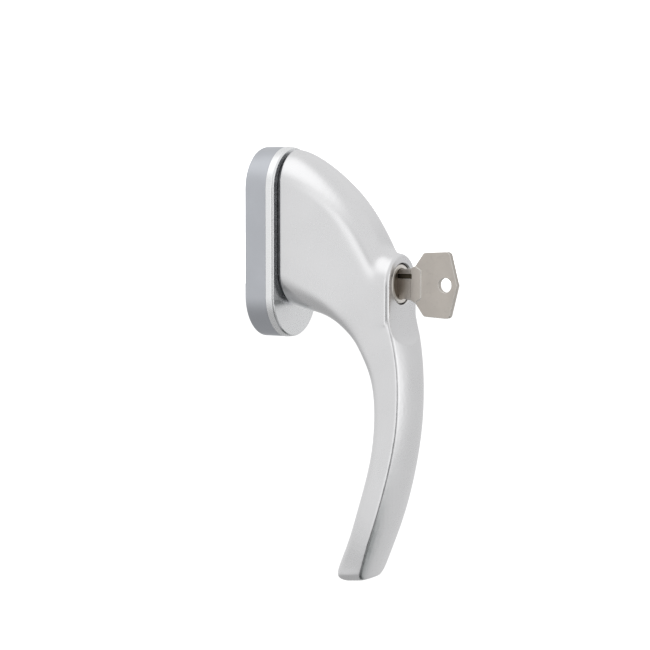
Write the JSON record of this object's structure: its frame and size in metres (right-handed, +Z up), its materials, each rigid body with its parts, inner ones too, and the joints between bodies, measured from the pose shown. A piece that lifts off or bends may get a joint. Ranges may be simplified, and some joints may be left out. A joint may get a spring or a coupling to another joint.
{
  "type": "keyed window lock handle",
  "caption": "Window handle on an oval rosette that turns a square spindle and is pinned by a key-operated lock in its knuckle.",
  "frame": {"origin": "centre of the rosette's back face, on the spindle's axis", "axes": "+Z up along the oval rosette, -Y towards the room along the spindle, +X to the right seen from the room"},
  "size_m": [0.0312, 0.0866, 0.1579],
  "materials": {
    "base_plate": "satin silver paint on zinc die casting",
    "cover_plate": "satin silver anodised",
    "fixing_screws": "zinc plated",
    "bearing_bush": "black nylon",
    "detent_springs": "spring steel",
    "detent_cam": "sintered steel",
    "retaining_washer": "zinc plated",
    "retaining_ring": "phosphated spring steel",
    "handle_body": "satin silver anodised, fine blasted",
    "slide_pad": "black nylon",
    "spindle": "zinc plated, drawn",
    "cylinder_housing": "dull nickel plated brass",
    "lock_plug": "nickel plated brass, darkened",
    "wafers": "stamped",
    "wafer_springs": "bronze wire",
    "plug_clip": "spring steel",
    "guide_sleeve": "turned",
    "cam_barrel": "hardened",
    "lock_bolt": "ground rod",
    "cross_pin": "ground pin",
    "cylinder_set_screw": "black oxide",
    "key": "nickel plated, fine grain"
  },
  "bodies": {
    "rosette": {"base_plate": "base_plate", "cover_plate": "cover_plate", "fixing_screws": "fixing_screws", "bearing_bush": "bearing_bush", "detent_springs": "detent_springs"},
    "handle": {"handle_body": "handle_body", "slide_pad": "slide_pad", "spindle": "spindle", "detent_cam": "detent_cam", "retaining_washer": "retaining_washer", "retaining_ring": "retaining_ring", "cylinder_housing": "cylinder_housing", "guide_sleeve": "guide_sleeve", "cylinder_set_screw": "cylinder_set_screw"},
    "plug": {"lock_plug": "lock_plug", "wafers": "wafers", "wafer_springs": "wafer_springs", "plug_clip": "plug_clip", "cam_barrel": "cam_barrel"},
    "bolt": {"lock_bolt": "lock_bolt", "cross_pin": "cross_pin"},
    "key": {"key": "key"}
  },
  "joints": [
    {"name": "handle_turn", "type": "hinge", "parent": "rosette", "child": "handle", "pos_m": [0, 0, 0], "axis": [0, 1, 0], "range_deg": [-180, 180], "deforming": ["detent_springs"]},
    {"name": "key_turn", "type": "hinge", "parent": "handle", "child": "plug", "pos_m": [0, -0.05, -0.0142], "axis": [0, 1, 0], "range_deg": [0, 90]},
    {"name": "bolt_slide", "type": "slide", "parent": "handle", "child": "bolt", "axis": [0, 1, 0], "range_m": [0, 0.008]},
    {"name": "key_withdraw", "type": "slide", "parent": "plug", "child": "key", "axis": [0, -1, 0], "range_m": [0, 0.03]}
  ],
  "couplings": [
    {"joint": "bolt_slide", "follows": "key_turn", "m_per_rad": 0.005093}
  ]
}
